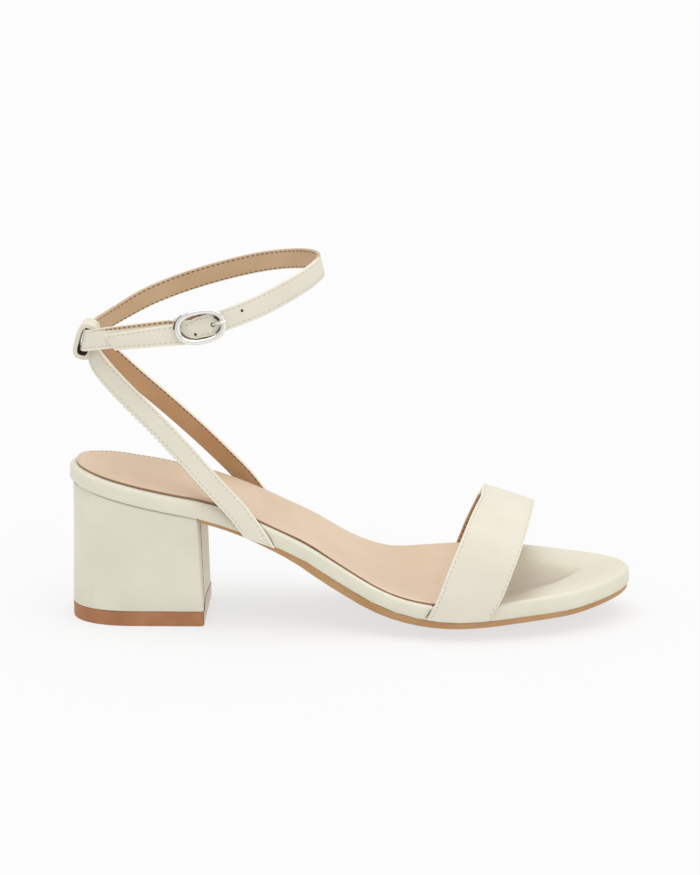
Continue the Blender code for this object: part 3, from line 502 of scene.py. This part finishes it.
# Top lift: a solid piece of brown rubber, cemented under the heel. Its upper side comes up to the cement.
LIFT_LIGHT = (0.420, 0.185, 0.078, 1.0)
LIFT_DEEP = (0.350, 0.142, 0.058, 1.0)
lift_rubber = leather("Brown heel rubber", LIFT_DEEP, LIFT_LIGHT, 0.62, pebbles=700.0, clouds=90.0)[0]
shape = merged("top_lift")
for vertex in shape.verts:
    if vertex.normal.z > WALL:
        vertex.co.z += CEMENT_LINE
place(shape, "heel_lift", [lift_rubber], ["top_lift"])

# Toe strap: one wide cream band with a brown lining, edges turned and stitched, its ends
# cemented on the side of the footbed.
OUTER, INNER, EDGE, EXTRA = range(4)
STRAP_ROUND = 0.00045
ROW_INSET = 0.0012
FRONT_ROW_INSET = 0.0009
BACK_ROW_INSET = 0.0008
STITCH_PITCH = 0.0022
STITCH_LENGTH = 0.0014
FINE_THREAD = (0.00028, 0.00006)
STOUT_THREAD = (0.00050, 0.00014)
CORNER = math.radians(38)
WIDE_ROW = 0.06
NARROW_ROW = 0.03
LONG_BORDER = 0.05
FINE_LINE = 0.00013
BACK_LIGHT = (0.610, 0.425, 0.255, 1.0)
BACK_DEEP = (0.530, 0.355, 0.200, 1.0)
WARM_LIGHT = (0.560, 0.340, 0.180, 1.0)
WARM_DEEP = (0.480, 0.275, 0.135, 1.0)
cream_strap = leather("Cream strap", (0.715, 0.672, 0.552, 1.0), (0.770, 0.726, 0.608, 1.0), 0.42)[0]
brown_lining = leather("Brown strap lining", BACK_DEEP, BACK_LIGHT, 0.55, pebbles=1200.0)[0]
warm_lining = leather("Warm strap lining", WARM_DEEP, WARM_LIGHT, 0.55, pebbles=1200.0)[0]


def thread_material(name, colour):
    """Twisted polyester thread."""
    made, nodes, link, shader = new_material(name, 0.55)
    where = nodes.new("ShaderNodeTexCoord")
    twist = nodes.new("ShaderNodeTexWave")
    twist.bands_direction = "DIAGONAL"
    twist.inputs["Scale"].default_value = 900.0
    link(where.outputs["Object"], twist.inputs["Vector"])
    shaded = tuple(channel * 0.8 for channel in colour)
    link(blended(nodes, link, twist.outputs["Fac"], (*shaded, 1.0), (*colour, 1.0)), shader.inputs["Base Color"])
    return made


pale_thread = thread_material("Pale thread", (0.520, 0.475, 0.370))
brown_thread = thread_material("Brown thread", (0.095, 0.048, 0.026))


def smooth_regions(made):
    """Groups of faces that meet without a sharp edge."""
    seen, groups = set(), []
    for first in made.faces:
        if first.index in seen:
            continue
        seen.add(first.index)
        stack, group = [first], []
        while stack:
            face = stack.pop()
            group.append(face)
            for edge in face.edges:
                if edge.calc_face_angle(0.0) >= SHARP:
                    continue
                for other in edge.link_faces:
                    if other.index not in seen:
                        seen.add(other.index)
                        stack.append(other)
        groups.append(group)
    return groups


def sort_strap_faces(made, core, wall=0.0032):
    """Sorts a strap's faces into outer ones, the lining and the narrow edges, by their material's number."""
    made.faces.ensure_lookup_table()
    made.faces.index_update()
    for group in smooth_regions(made):
        members = {face.index for face in group}
        area = sum(face.calc_area() for face in group)
        border, outward = 0.0, 0.0
        for face in group:
            outward += face.normal.dot(face.calc_center_median() - core) * face.calc_area()
            for edge in face.edges:
                if any(other.index not in members for other in edge.link_faces):
                    border += edge.calc_length()
        side = OUTER if outward > 0 else INNER
        index = EDGE if 2 * area / border < wall else side
        for face in group:
            face.material_index = index


def border_loops(made, index):
    """Closed runs of edges round the faces of one material, each as [(vertex number, inward, normal)]."""
    ways = {}
    for edge in made.edges:
        inside = [face for face in edge.link_faces if face.material_index == index]
        if len(inside) != 1 or len(edge.link_faces) != 2:
            continue
        face = inside[0]
        for loop in face.loops:
            if loop.edge == edge:
                start, end = loop.vert, loop.link_loop_next.vert
        along = (end.co - start.co).normalized()
        ways.setdefault(start.index, []).append((end.index, face.normal.cross(along), face.normal.copy()))
    loops = []
    while ways:
        first = min(ways)
        here, run = first, []
        while here in ways:
            options = ways[here]
            after, inward, normal = options.pop(0)
            if not options:
                del ways[here]
            run.append((here, inward, normal))
            here = after
        loops.append(run)
    return loops


def stitch_rows(made, index, shortest, inset_at=lambda spot: ROW_INSET):
    """Rows of (place, direction, normal) inside the long edges of the faces of one material."""
    made.verts.ensure_lookup_table()
    made.verts.index_update()
    surface = BVHTree.FromBMesh(made)
    rows = []
    for run in border_loops(made, index):
        points = [made.verts[vertex].co.copy() for vertex, _, _ in run]
        count = len(points)
        corners = []
        for i in range(count):
            before = points[i] - points[i - 1]
            after = points[(i + 1) % count] - points[i]
            if before.length > 0 and after.length > 0 and before.angle(after) > CORNER:
                corners.append(i)
        if not corners:
            corners = [0]
        for k, start in enumerate(corners):
            end = corners[(k + 1) % len(corners)]
            span = (end - start) % count or count
            part = [(start + step) % count for step in range(span + 1)]
            length = sum((points[b] - points[a]).length for a, b in zip(part, part[1:]))
            if length < shortest:
                continue
            inset = inset_at(points[part[len(part) // 2]])
            rows.append(row_along(part, run, points, length, surface, inset))
    return rows


def row_along(part, run, points, length, surface, inset):
    """Even stitches along one long edge."""
    stitches = []
    spots = int((length - 2 * inset) / STITCH_PITCH)
    first = (length - spots * STITCH_PITCH) / 2
    travelled, k = 0.0, 0
    for spot in range(spots):
        target = first + (spot + 0.5) * STITCH_PITCH
        while travelled + (points[part[k + 1]] - points[part[k]]).length < target:
            travelled += (points[part[k + 1]] - points[part[k]]).length
            k += 1
        a, b = points[part[k]], points[part[k + 1]]
        share = (target - travelled) / (b - a).length
        _, inward, _ = run[part[k]]
        near = run[part[k + 1]][1] if share > 0.5 else run[part[k - 1]][1] if k else inward
        blend = abs(share - 0.5)
        inward = (inward * (1 - blend) + near * blend).normalized()
        place_at, normal, _, _ = surface.find_nearest(a.lerp(b, share) + inward * inset)
        stitches.append((place_at, (b - a).normalized(), normal))
    return stitches


def sew(name, rows, thread, gauge=FINE_THREAD, keep=lambda spot: True):
    """Joins the stitches of the rows into one piece of thread. The gauge is its width and how far it stands out."""
    wide, rise = gauge
    made = bmesh.new()
    for row in rows:
        for spot, along, normal in row:
            if not keep(spot):
                continue
            across = normal.cross(along).normalized()
            turn = Matrix((normal, across, across.cross(normal) * -1.0)).transposed().to_4x4()
            size = Matrix.Diagonal((rise, wide / 2, STITCH_LENGTH / 2, 1.0))
            bmesh.ops.create_uvsphere(
                made, u_segments=6, v_segments=4, radius=1.0, matrix=Matrix.Translation(spot) @ turn @ size
            )
    bmesh.ops.recalc_face_normals(made, faces=made.faces)
    return place(made, name, [thread], sharp=math.pi)


def long_borders(made, shortest):
    """Edges where the strap's faces meet its walls, without the rims of the small holes."""
    edges = []
    chosen = {edge for edge in made.edges if len({face.material_index for face in edge.link_faces}) == 2}
    seen = set()
    for first in made.edges:
        if first not in chosen or first in seen:
            continue
        stack, group = [first], []
        seen.add(first)
        while stack:
            edge = stack.pop()
            group.append(edge)
            for vertex in edge.verts:
                for other in vertex.link_edges:
                    if other in chosen and other not in seen:
                        seen.add(other)
                        stack.append(other)
        if sum(edge.calc_length() for edge in group) > shortest:
            edges += group
    return edges


def add_foot_line(name, spots, material):
    """Thin line of old cement along the foot of a strap."""
    made = bmesh.new()
    add_cord(made, [Vector(spot) for spot in spots], FINE_LINE)
    place(made, name, [material])


# The band's foot is cream, and its near edges are the lighter cream of a painted highlight. On the far half the rear
# edge shows the brown lining.
BAND_FOOT = 0.0145
FAR_HALF = 0.010
FAR_TURN = 0.15
BAND_FOOT_LINE = (
    (0.1189, -0.0380, 0.0095), (0.1198, -0.0382, 0.0112), (0.1206, -0.0381, 0.0127),
    (0.1214, -0.0372, 0.0139), (0.1221, -0.0355, 0.0149),
)
shape = merged("toe_strap")
low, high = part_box("toe_strap")
core = (low + high) / 2
core.z = low.z
sort_strap_faces(shape, core)
outer_rows = stitch_rows(shape, OUTER, WIDE_ROW, lambda spot: FRONT_ROW_INSET if spot.x > core.x else ROW_INSET)
inner_rows = stitch_rows(shape, INNER, WIDE_ROW, lambda spot: BACK_ROW_INSET)
# Rounded edges take the lighter folded-edge cream, a painted highlight.
soften(shape, long_borders(shape, LONG_BORDER), STRAP_ROUND, material=EDGE)
for face in shape.faces:
    middle = face.calc_center_median()
    if face.material_index == EDGE and middle.z < BAND_FOOT:
        face.material_index = OUTER
    elif face.material_index == EDGE and middle.y > FAR_HALF and middle.x < core.x and face.normal.y < FAR_TURN:
        face.material_index = INNER
place(shape, "toe_band", [cream_strap, warm_lining, cream_fold_highlight], ["toe_strap"])
add_foot_line("toe_band_foot_line", BAND_FOOT_LINE, dark_cement_and_shade)
sew("toe_band_thread", outer_rows, pale_thread)
sew("toe_band_back_thread", inner_rows, brown_thread, STOUT_THREAD)

# Lining stitches: a short row of fine tan thread along the inner edge of the lining sheet at the heel.
# They lie on the upper side of the sheet, a little inside its rounded edge.
LINING_ROW_INSET = 0.0028
LINING_ROW = (-0.021, 0.018)
LINING_THREAD = (0.00050, 0.00018)
tan_thread = thread_material("Tan thread", (0.290, 0.165, 0.090))
heel_rows = stitch_rows(lining_shape, 0, WIDE_ROW, lambda spot: LINING_ROW_INSET)
heel_rows = [[(spot, along, normal) for spot, along, normal in row if normal.z > TOP] for row in heel_rows]
lining_shape.free()
sew(
    "lining_thread", heel_rows, tan_thread, LINING_THREAD,
    lambda spot: spot.y > 0 and LINING_ROW[0] < spot.x < LINING_ROW[1]
)

# Sling straps: two narrow bands from the sides of the footbed that meet behind the ankle, sewn to
# the loop that carries the ankle strap. Cream outside, brown lining inside, stitched along both edges.
SLING_CORE = Vector((0.030, 0.0, 0.090))
LOOP_START = -0.0125
LOOP_FLOOR = 0.1125
LOOP_JOIN = 0.006
LOOP_GAP = Vector((-0.0190, 0.0, 0.1160))
LOOP_SHADE_TOP = 0.1135
LOOP_SHADE_HALF = 0.006
SLING_FOOT_LINE = (
    (0.0502, -0.0268, 0.0474), (0.0521, -0.0266, 0.0450), (0.0540, -0.0266, 0.0426),
    (0.0558, -0.0264, 0.0397), (0.0569, -0.0263, 0.0372), (0.0573, -0.0262, 0.0360),
)


def on_loop(spot):
    """Whether a place belongs to the loop or the join under it."""
    return spot.x < LOOP_START and spot.z > LOOP_FLOOR or spot.x < LOOP_START - LOOP_JOIN


def in_shaded_loop_gap(face, middle):
    """Whether a face lies low in the loop and looks into its opening, where its dark colour is a painted shade."""
    inward = face.normal.dot(LOOP_GAP - middle) > 0.0
    return inward and middle.z < LOOP_SHADE_TOP and abs(middle.y) < LOOP_SHADE_HALF


shape = merged("sling_straps")
sort_strap_faces(shape, SLING_CORE)
outer_rows = stitch_rows(shape, OUTER, NARROW_ROW)
inner_rows = stitch_rows(shape, INNER, NARROW_ROW, lambda spot: BACK_ROW_INSET)
# Rounded edges take the lighter folded-edge cream, a painted highlight.
soften(shape, long_borders(shape, LONG_BORDER), STRAP_ROUND, material=EDGE)
for face in shape.faces:
    middle = face.calc_center_median()
    # Loop faces are cream, but those looking into its opening are painted dark, a painted shade.
    if on_loop(middle):
        face.material_index = EXTRA if in_shaded_loop_gap(face, middle) else OUTER
place(shape, "sling_bands", [cream_strap, warm_lining, cream_fold_highlight, dark_cement_and_shade], ["sling_straps"])
sew("sling_thread", outer_rows, pale_thread, keep=lambda spot: not on_loop(spot))
sew("sling_back_thread", inner_rows, brown_thread, STOUT_THREAD, lambda spot: not on_loop(spot))
add_foot_line("sling_foot_line", SLING_FOOT_LINE, lining_edge)

# Ankle strap: one long narrow band, folded round the buckle's bar, led back through the loop and round the
# ankle to a slanted free end. Cream outside, brown lining inside, stitched along both edges. Above the free
# end the lower layer shows its turned lining, darkened with painted shade from the overlap, and every hole is dark
# inside, a painted shade.
TURNED_SHADE_START = Vector((-0.0130, 0.0, 0.12300))
TURNED_SHADE_END = Vector((0.0205, 0.0, 0.12860))
TURNED_SHADE_LAYER = -0.012
TURNED_SHADE_STITCHES = -0.010
NEAR_BAND = Vector((0.022, -0.010))
FAR_BAND = -0.005
FAR_EDGE_TURN = -0.2
HOLE_HALF = 0.0015
HOLE_SHADE = 0.0006
CURL = ((0.0186, -0.0299, 0.1296), (0.0194, -0.0300, 0.1303), (0.0201, -0.0301, 0.1305), (0.0206, -0.0302, 0.1299))
CURL_RADIUS = 0.0003
turned_shade_lining = leather("Turned lining and painted shade", (0.520, 0.370, 0.225, 1.0), (0.610, 0.460, 0.300, 1.0), 0.55)[0]
turned_shade_run = (TURNED_SHADE_END - TURNED_SHADE_START).normalized()
turned_shade_rise = Vector((-turned_shade_run.z, 0.0, turned_shade_run.x))


def is_turned_shade(spot):
    """Whether a place on the lower layer lies in the band over the free end, coloured as turned lining in painted
    shade.
    """
    along = (spot - TURNED_SHADE_START).dot(turned_shade_run)
    above = (spot - TURNED_SHADE_START).dot(turned_shade_rise)
    return 0.0 < along < (TURNED_SHADE_END - TURNED_SHADE_START).length and above > 0.0 and spot.y < TURNED_SHADE_LAYER


shape = merged("ankle_strap")
low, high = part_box("ankle_strap")
sort_strap_faces(shape, (low + high) / 2)
outer_rows = stitch_rows(shape, OUTER, NARROW_ROW)
inner_rows = stitch_rows(shape, INNER, NARROW_ROW, lambda spot: BACK_ROW_INSET)
holes = []
for run in border_loops(shape, OUTER):
    spots = [shape.verts[vertex].co for vertex, _, _ in run]
    middle = sum(spots, Vector()) / len(spots)
    across = max((spot - middle).length for spot in spots)
    if across < HOLE_HALF:
        holes.append((middle, sum((normal for _, _, normal in run), Vector()).normalized(), across))
near_band = []
for face in shape.faces:
    middle = face.calc_center_median()
    if middle.x < NEAR_BAND.x and middle.y < NEAR_BAND.y:
        near_band.append(face)
geometry = list({item for face in near_band for item in (face, *face.edges, *face.verts)})
bmesh.ops.bisect_plane(shape, geom=geometry, plane_co=TURNED_SHADE_START, plane_no=turned_shade_rise, dist=WELD)
# Rounded edges take the lighter folded-edge cream, a painted highlight.
soften(shape, long_borders(shape, LONG_BORDER), STRAP_ROUND, material=EDGE)
# The band over the free end gets the turned lining's tan, partly painted shade from the overlap; the far edges get
# the same tan.
for face in shape.faces:
    middle = face.calc_center_median()
    turned_shade = face.material_index == OUTER and is_turned_shade(middle)
    far_edge = face.material_index == EDGE and middle.y > FAR_BAND and face.normal.z > FAR_EDGE_TURN
    if turned_shade or far_edge:
        face.material_index = EXTRA
place(shape, "ankle_band", [cream_strap, brown_lining, cream_fold_highlight, turned_shade_lining], ["ankle_strap"])
sew("ankle_thread", outer_rows, pale_thread, keep=lambda spot: not is_turned_shade(spot))
sew(
    "ankle_turned_shade_thread", outer_rows, brown_thread, STOUT_THREAD,
    lambda spot: is_turned_shade(spot) and spot.x > TURNED_SHADE_STITCHES
)
sew("ankle_back_thread", inner_rows, brown_thread, STOUT_THREAD)
# Painted shade: a dark disc set just inside every hole.
shape = bmesh.new()
for middle, normal, across in holes:
    turn = normal.to_track_quat("Z", "Y").to_matrix().to_4x4()
    bmesh.ops.create_cone(
        shape, cap_ends=True, segments=16, radius1=across * 0.98, radius2=across * 0.98, depth=HOLE_SHADE,
        matrix=Matrix.Translation(middle - normal * HOLE_SHADE) @ turn
    )
place(shape, "hole_shades", [dark_cement_and_shade])
# At the rim the lower layer's edge curls up in a small shoulder.
shape = bmesh.new()
add_cord(shape, [Vector(spot) for spot in CURL], CURL_RADIUS, 8)
place(shape, "ankle_curl", [cream_fold_highlight])

# Buckle: a cast and polished oval rim with its bar, and a bent wire prong, both plated bright silver. The
# strap's fold holds the bar. The rim's faces that look sideways are painted darker and duller, a painted dark
# reflection and shade outlining the rim.
def plate(name, deep, light, low, high):
    """Polished plate with fine wiping marks, between two tones and two roughnesses."""
    made, nodes, link, shader = new_material(name, low)
    shader.inputs["Metallic"].default_value = 1.0
    where = nodes.new("ShaderNodeTexCoord")
    scratches = nodes.new("ShaderNodeTexNoise")
    scratches.inputs["Scale"].default_value = 700.0
    scratches.inputs["Detail"].default_value = 5.0
    link(where.outputs["Object"], scratches.inputs["Vector"])
    link(blended(nodes, link, scratches.outputs["Fac"], deep, light), shader.inputs["Base Color"])
    dull = nodes.new("ShaderNodeMapRange")
    dull.inputs["To Min"].default_value = low
    dull.inputs["To Max"].default_value = high
    link(scratches.outputs["Fac"], dull.inputs["Value"])
    link(dull.outputs[0], shader.inputs["Roughness"])
    return made


plated = plate("Polished plate", (0.80, 0.79, 0.75, 1.0), (0.90, 0.89, 0.86, 1.0), 0.08, 0.20)
reflection_and_shade_plate = plate("Plate with painted reflection and shade", (0.100, 0.096, 0.085, 1.0), (0.150, 0.145, 0.130, 1.0), 0.30, 0.42)
METAL_SHARP = math.radians(60)
RIM_FACE = Vector((-0.024, -0.973, 0.229))
RIM_LONG = Vector((0.981, 0.021, 0.191))
RIM_SHORT = Vector((-0.190, 0.230, 0.954))
RIM_MIDDLE = Vector((0.0295, -0.03375, 0.12767))
RIM_SIDES = 0.30
shape = merged("buckle_frame")
# Sideways faces take the dark plate, a painted reflection and shade outlining the rim.
for face in shape.faces:
    if -RIM_SIDES < face.normal.dot(RIM_FACE) < RIM_SIDES:
        face.material_index = 1
round_off(place(shape, "buckle_rim", [plated, reflection_and_shade_plate], ["buckle_frame"], sharp=METAL_SHARP))


def in_rim(along, across, back):
    """Place in the rim's own frame, set back from its middle plane."""
    return RIM_MIDDLE + RIM_LONG * along + RIM_SHORT * across - RIM_FACE * back


def rim_arc(halves, start, end, back, steps):
    """Part of an oval about the rim's middle, between two turns in degrees."""
    turns = [math.radians(start + (end - start) * i / steps) for i in range(steps + 1)]
    return [in_rim(math.cos(t) * halves[0], math.sin(t) * halves[1], back) for t in turns]


# Behind the free end the fold's lining closes the left half of the rim, brown darkened by painted shade above, and
# painted dark shade below.
FOLD_BACK = 0.0036
FOLD_HALVES = (0.0090, 0.0058)
FOLD_TURNS = ((90, 185), (175, 270))
FOLD_ENDS = (0.0060, 0.0050)
FOLD_THICK = 0.00012
shape = bmesh.new()
for index, (turns, end, sign) in enumerate(zip(FOLD_TURNS, FOLD_ENDS, (1, -1))):
    outline = rim_arc(FOLD_HALVES, *turns, FOLD_BACK, 10)
    corner = in_rim(end, sign * FOLD_HALVES[1], FOLD_BACK)
    inner = in_rim(end, 0.0, FOLD_BACK)
    outline = [inner, corner] + outline if sign > 0 else outline + [corner, inner]
    before = len(shape.faces)
    add_plate(shape, outline, RIM_FACE * FOLD_THICK)
    shape.faces.ensure_lookup_table()
    for face in shape.faces[before:]:
        face.material_index = index
bmesh.ops.recalc_face_normals(shape, faces=shape.faces)
fold_brown_in_shade = leather("Fold brown in painted shade", (0.300, 0.165, 0.085, 1.0), (0.380, 0.215, 0.115, 1.0), 0.6)[0]
place(shape, "fold_lining_and_shade", [fold_brown_in_shade, dark_cement_and_shade])

# Painted contact shadows, dark lines where the rim lies on the strap: outside at its upper left, inside at its lower
# left, above the prong's tip and at its lower right. Each has its oval's half lengths, its turns, how far it is
# set back, and its radius.
CONTACT_SHADOWS = (
    ((0.01080, 0.00740), 128, 172, 0.0004, 0.00036), ((0.00800, 0.00465), 188, 262, 0.0012, 0.00024),
    ((0.00780, 0.00450), 16, 42, 0.0008, 0.00046), ((0.00790, 0.00455), 312, 344, 0.0009, 0.00022),
)
shape = bmesh.new()
for halves, start, end, back, radius in CONTACT_SHADOWS:
    add_cord(shape, rim_arc(halves, start, end, back, 12), radius)
place(shape, "rim_contact_shadows", [dark_cement_and_shade])
place(merged("buckle_prong"), "buckle_tongue", [plated], ["buckle_prong"], sharp=METAL_SHARP)
